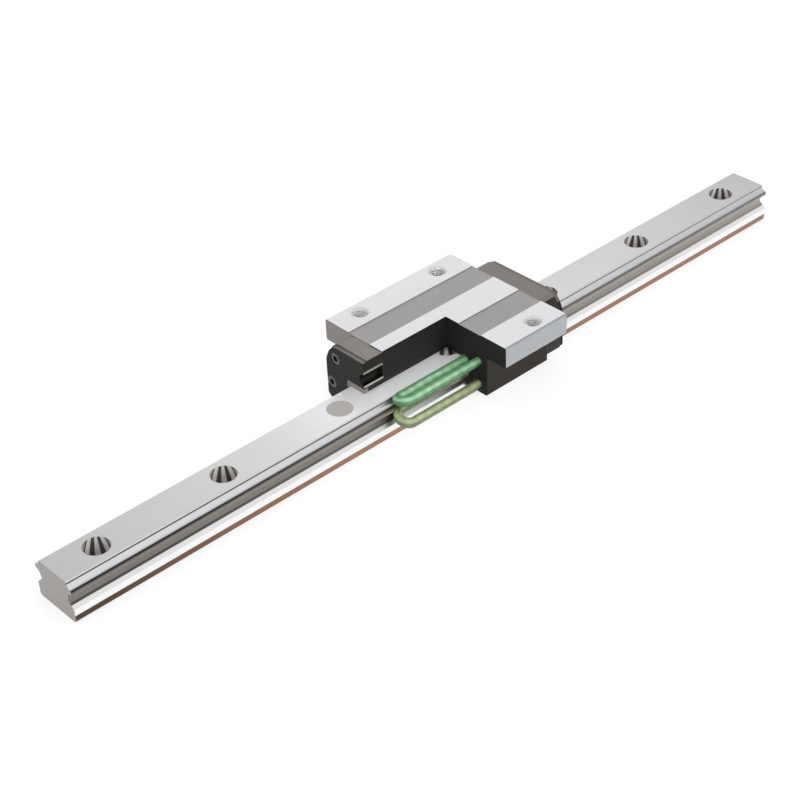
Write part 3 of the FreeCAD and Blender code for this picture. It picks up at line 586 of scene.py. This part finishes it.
straight = 73.6
turn = 4.0
ball = 3.969
ball_pitch = 5.0
row_side = 11.0
row_heights = {"upper": 17.5, "lower": 11.1}
row_tilt = math.radians(18)
race_angle = math.radians(27)
lap = 2 * straight + 2 * math.pi * turn
balls_in_lap = int(lap / ball_pitch)
ball_step = lap / balls_in_lap


def lap_line(way):
    """Points on the circuit, and the direction to its inner side. The way leads along the loaded straight,
    round a half circle, back along the other straight and round the second half circle."""
    way = np.asarray(way, float) % lap
    bend = math.pi * turn
    first = np.clip(way - straight, 0, bend) / turn
    second = np.clip(way - 2 * straight - bend, 0, bend) / turn
    angle = first + second
    out = np.clip(way, 0, straight)
    back = np.clip(way - straight - bend, 0, straight)
    x = -straight / 2 + out - back + turn * (np.sin(first) - np.sin(second))
    y = turn * (1 - np.cos(first)) - turn * (1 - np.cos(second))
    inner = np.stack([-np.sin(angle), np.cos(angle), np.zeros_like(angle)], axis=-1)
    return np.stack([x, y, np.zeros_like(x)], axis=-1), inner


def circuit_place(side, level):
    """Where a circuit lies: set on its loaded row, tilted, and turned half round on the right."""
    tilt = row_tilt * (1 if level == "upper" else -1) * side
    place = Matrix.Translation((0, side * row_side, row_heights[level])) @ Matrix.Rotation(tilt, 4, "X")
    if side < 0:
        place = place @ Matrix.Rotation(math.pi, 4, "Z")
    return np.array(place)


def placed(points, side, level):
    """Points of a circuit in the frame of the whole guide, in metres."""
    place = circuit_place(side, level)
    return (points @ place[:3, :3].T + place[:3, 3]) * 0.001


def ball_faces(around, rings):
    """A ball's faces: a fan at each pole as thin four-sided faces, and rings between them."""
    i, j = np.meshgrid(np.arange(rings - 1), np.arange(around), indexing="ij")
    right = (j + 1) % around
    body = np.stack([i * around + j, i * around + right, (i + 1) * around + right, (i + 1) * around + j],
                    axis=-1).reshape(-1, 4)
    halves = np.arange(0, around, 2)
    pole = rings * around
    top = np.stack([np.full(around // 2, pole), halves, halves + 1, (halves + 2) % around], axis=-1)
    low = top[:, ::-1] + (rings - 1) * around
    low[:, 3] = pole + 1
    return np.vstack([body, top[:, ::-1], low[:, ::-1]])


def ball_points(around, rings):
    """Points of a ball: the radius times the sines and cosines of height and turn, then its two poles."""
    height = np.pi * (np.arange(rings) + 1) / (rings + 1)
    turns = 2 * np.pi * np.arange(around) / around
    ring = np.stack([np.outer(np.sin(height), np.cos(turns)), np.outer(np.sin(height), np.sin(turns)),
                     np.outer(np.cos(height), np.ones(around))], axis=-1).reshape(-1, 3)
    return np.vstack([ring, [[0, 0, 1], [0, 0, -1]]]) * ball / 2


def ball_steel():
    """Lapped chrome steel, close to a mirror."""
    finish, reads = new_finish("lapped_ball_steel")
    colour = over(finish, grain(finish, reads, (2.0, 2.0, 2.0)), "D8DBDE", "EDEFF1")
    return close(finish, colour, 0.06, 1.0, rounding=0.00001)


def cage_points(level, rows, columns):
    """The cage's skin. Its radius is the skin's own and a swell where rail and block leave room, less a dip
    at each ball, deep towards the rail and slight towards the block, and less a waist between two balls."""
    skin = 2.02
    swell = 0.22
    waist = 0.05
    to_rail = 0.3
    to_block = 0.07
    opening = math.radians(30)
    ball_reach = 1.35
    way = np.arange(rows) * lap / rows
    around = 2 * np.pi * np.arange(columns) / columns
    off_race = around - race_angle * (1 if level == "upper" else -1)
    room = np.abs(np.sin(off_race)) ** 4
    to_ball = way / ball_step % 1 - 0.5
    near = np.exp(-(to_ball * ball_step / ball_reach) ** 2)
    loaded = np.clip((straight / 2 + 1 - np.abs(way - straight / 2)) / 2, 0, 1)
    gap = (1 + np.cos(2 * np.pi * way / ball_step)) / 2
    dip = np.exp(-(np.arcsin(np.abs(np.sin(off_race))) / opening) ** 2)
    dip = dip * np.where(np.cos(off_race) < 0, to_rail, to_block)
    radius = skin + swell * room[None, :] - (near * loaded)[:, None] * dip[None, :] - waist * gap[:, None]
    middle, inner = lap_line(way)
    up = np.array([0.0, 0.0, 1.0])
    points = middle[:, None, :] + radius[..., None] * (np.cos(around)[None, :, None] * inner[:, None, :]
                                                       + np.sin(around)[None, :, None] * up)
    return points.reshape(-1, 3), np.repeat(near, columns)


def cage_resin(name, light, mid, dark):
    """Glossy green resin, a little clear. Faces that look up are light with a painted highlight, faces that
    look down are dark with painted shade, and the spacers between the balls are a shade darker."""
    finish, reads = new_finish(name)
    near = add(finish, "ShaderNodeAttribute", attribute_name="ball_near").outputs["Fac"]
    flow = grain(finish, reads, (3.0, 1.2, 1.2))
    # Painted highlight on faces that look up and painted shade on faces that look down.
    colour = bands(finish, reads["facing_z"], -1.0, 1.0, [
        (-1.0, dark), (0.0, mid), (0.3, mid), (0.55, light), (0.85, light), (1.0, mid)])
    between = add(finish, "ShaderNodeMath", {0: 1.0, 1: near}, operation="SUBTRACT").outputs[0]
    between = add(finish, "ShaderNodeMath", {0: between, 1: 0.22}, operation="MULTIPLY").outputs[0]
    colour = varied(finish, over(finish, between, colour, dark), flow, 0.06)
    rough = add(finish, "ShaderNodeMapRange", {0: flow, 3: 0.16, 4: 0.32}).outputs[0]
    return close(finish, colour, rough, 0.0, flow, depth=0.00002, rounding=0.0001,
                 Transmission_Weight=0.1, Coat_Weight=0.3, Coat_Roughness=0.12)


centres, _ = lap_line((np.arange(balls_in_lap) + 0.5) * ball_step)
around, rings = 12, 7
one, shape = ball_points(around, rings), ball_faces(around, rings)
chain_points = (centres[:, None, :] + one[None, :, :]).reshape(-1, 3)
chain_faces = (shape[None, :, :] + len(one) * np.arange(balls_in_lap)[:, None, None]).reshape(-1, 4)
rows, columns = balls_in_lap * 10, 28
steel = ball_steel()
resins = {
    "upper": cage_resin("glossy_green_resin", "9CCB9F", "558F5E", "285431"),
    # The lower cages' olive tint is a painted reflection laid on the same green resin.
    "lower": cage_resin("green_resin_painted_olive", "B2BF92", "7E8D5D", "4C5836"),
}
for word, side in (("left", 1), ("right", -1)):
    for level in ("upper", "lower"):
        chain = mesh_piece(f"{level}_{word}_ball_chain", placed(chain_points, side, level), chain_faces,
                           steel, "carriage")
        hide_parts(f"{level}_{word}_balls")
        skin, near = cage_points(level, rows, columns)
        cage = mesh_piece(f"{level}_{word}_moulded_cage", placed(skin, side, level),
                          closed_grid(rows, columns), resins[level], "carriage")
        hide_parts(f"{level}_{word}_cage")
        mark = cage.data.attributes.new("ball_near", "FLOAT", "POINT")
        mark.data.foreach_set("value", near.astype(np.float32))

# Studio
# A plain white floor that shows white to camera, gloss and glass and still takes the guide's shadow, an even
# white room, two large soft lamps, and a narrow one that lights the rail inside the cut.

floor_reach = 6.0
floor_height = -0.0001
floor_grey = 0.28
floor_glow = 0.79
room_light = 0.9
room_seen = 1.0


def white_seen(owner):
    """1 for rays that come from the camera, a gloss or a clear piece, and 0 for light that spreads."""
    path = add(owner, "ShaderNodeLightPath")
    seen = add(owner, "ShaderNodeMath", {0: path.outputs["Is Camera Ray"], 1: path.outputs["Is Glossy Ray"]},
               operation="MAXIMUM")
    return add(owner, "ShaderNodeMath", {0: seen.outputs[0], 1: path.outputs["Is Transmission Ray"]},
               operation="MAXIMUM").outputs[0]


def floor_paint():
    """Matt white paint with a glow only for rays that look at it."""
    finish = bpy.data.materials.new("white_floor_paint")
    finish.use_nodes = True
    finish.node_tree.nodes.clear()
    matt = add(finish, "ShaderNodeBsdfDiffuse", {"Color": (floor_grey, floor_grey, floor_grey, 1.0)})
    glow = add(finish, "ShaderNodeMath", {0: white_seen(finish), 1: floor_glow}, operation="MULTIPLY")
    light = add(finish, "ShaderNodeEmission", {"Strength": glow.outputs[0]})
    both = add(finish, "ShaderNodeAddShader", {0: matt.outputs[0], 1: light.outputs[0]})
    add(finish, "ShaderNodeOutputMaterial", {"Surface": both.outputs[0]})
    return finish


floor_mesh = bpy.data.meshes.new("studio_floor")
floor_corners = [(-floor_reach, -floor_reach, floor_height), (floor_reach, -floor_reach, floor_height),
                 (floor_reach, floor_reach, floor_height), (-floor_reach, floor_reach, floor_height)]
floor_mesh.from_pydata(floor_corners, [], [(0, 1, 2, 3)])
floor_mesh.materials.append(floor_paint())
studio_floor = bpy.data.objects.new("studio_floor", floor_mesh)
bpy.context.scene.collection.objects.link(studio_floor)

room = bpy.data.worlds.new("white_room")
room.use_nodes = True
room.node_tree.nodes.clear()
bright = add(room, "ShaderNodeMapRange", {0: white_seen(room), 3: room_light, 4: room_seen})
wall = add(room, "ShaderNodeBackground", {"Strength": bright.outputs[0]})
add(room, "ShaderNodeOutputWorld", {"Surface": wall.outputs[0]})
bpy.context.scene.world = room


def soft_lamp(name, place, target, width, power, spread=180):
    """A square lamp that shines from a place at a target, in a cone as wide as its spread in degrees. It
    isn't seen in gloss."""
    lamp = bpy.data.lights.new(name, "AREA")
    lamp.size = width
    lamp.energy = power
    lamp.spread = math.radians(spread)
    stand = bpy.data.objects.new(name, lamp)
    stand.location = place
    stand.rotation_euler = (Vector(target) - Vector(place)).to_track_quat("-Z", "Y").to_euler()
    stand.visible_glossy = False
    bpy.context.scene.collection.objects.link(stand)


soft_lamp("top_lamp", (0.3, 0.2, 1.2), (0, 0, 0), width=1.2, power=3.0)
soft_lamp("cut_lamp", (-0.24, -0.36, 0.36), (-0.022, -0.008, 0.018), width=0.06, power=0.011, spread=14)
soft_lamp("side_lamp", (0.1, -1.2, 0.7), (0, 0, 0.02), width=0.8, power=3.4)

# Camera
# It looks along the rail from its near end, from above on the cut side, as in the photograph. The offset is
# where the aim lies from the eye, in metres to the right, down and forward.

azimuth, elevation, roll = (math.radians(v) for v in (48.7016, 35.5491, 2.8141))
aim = Vector((0, 0, 0.010))
offset = Vector((0.019956, -0.015243, 0.791400))
forward = Vector((math.cos(azimuth) * math.cos(elevation), math.sin(azimuth) * math.cos(elevation),
                  -math.sin(elevation)))
level_right = forward.cross(Vector((0, 0, 1))).normalized()
level_down = forward.cross(level_right)
right = math.cos(roll) * level_right + math.sin(roll) * level_down
down = -math.sin(roll) * level_right + math.cos(roll) * level_down
lens = bpy.data.cameras.new("camera")
lens.sensor_width = 36.0
lens.lens = 84.158
lens.clip_end = 20.0
camera = bpy.data.objects.new("camera", lens)
eye = aim - right * offset.x - down * offset.y - forward * offset.z
turned = Matrix((right, -down, -forward)).transposed().to_4x4()
camera.matrix_world = Matrix.Translation(eye) @ turned
bpy.context.scene.collection.objects.link(camera)
bpy.context.scene.camera = camera
bpy.context.scene.view_settings.view_transform = "Standard"
